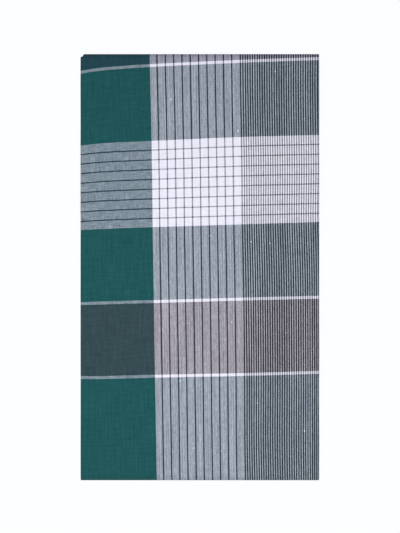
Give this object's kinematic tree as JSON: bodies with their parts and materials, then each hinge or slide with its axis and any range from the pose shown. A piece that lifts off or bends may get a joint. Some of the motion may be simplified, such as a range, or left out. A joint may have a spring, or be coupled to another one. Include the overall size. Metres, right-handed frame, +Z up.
{
  "type": "lungi",
  "caption": "Checked cotton lungi, a sewn tube of cloth to wrap round the waist, pressed and folded flat into an oblong packet that lies on its underside.",
  "frame": {"origin": "under the middle of the packet, on the surface that it lies on", "axes": "+Z up through the thickness of the packet, +Y along its length towards the folded end that holds two passes, +X across it towards the edge where each pass is one smooth fold"},
  "size_m": [0.2, 0.3576, 0.0129],
  "materials": {
    "cloth": "plain-woven checked cotton, pressed",
    "inner_cloth": "the same cloth, in the folds"
  },
  "bodies": {
    "root": {"outer_leaf": "cloth", "hidden_layers": "inner_cloth"}
  },
  "joints": []
}
